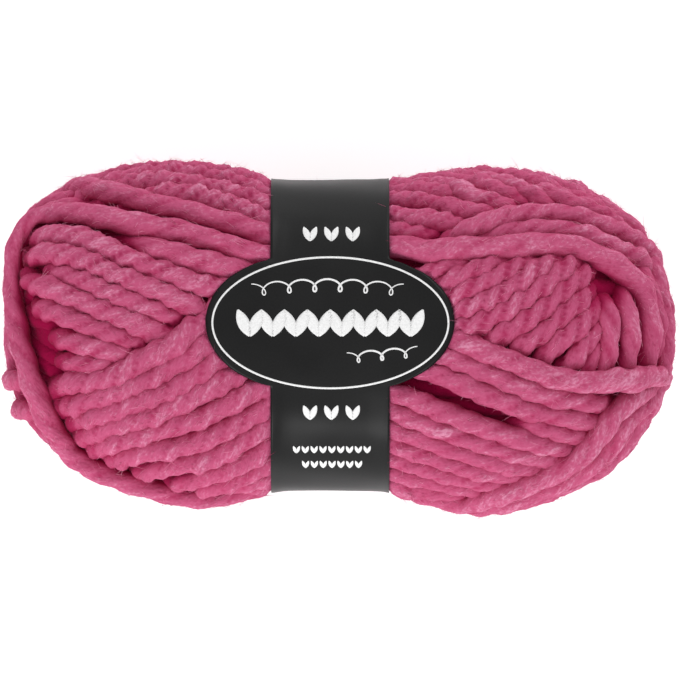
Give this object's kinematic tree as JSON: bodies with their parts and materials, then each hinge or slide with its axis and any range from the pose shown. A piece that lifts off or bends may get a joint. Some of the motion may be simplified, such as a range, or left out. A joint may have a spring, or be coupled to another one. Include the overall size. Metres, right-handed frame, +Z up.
{
  "type": "ball of chunky acrylic yarn with its paper ball band",
  "caption": "Oblong wound ball of thick soft pink yarn, drawn in at the waist by a black paper band that widens to an oval plate on top.",
  "frame": {"origin": "on the surface the ball rests on, under the middle of its bounding box", "axes": "+X along the ball, +Y across it, +Z up, out of the oval plate of the band"},
  "size_m": [0.1498, 0.0787, 0.0645],
  "materials": {
    "yarn": "soft matte, fuzzy",
    "band": "satin coated"
  },
  "bodies": {
    "root": {"skein": "yarn", "ball_band": "band"}
  },
  "joints": []
}
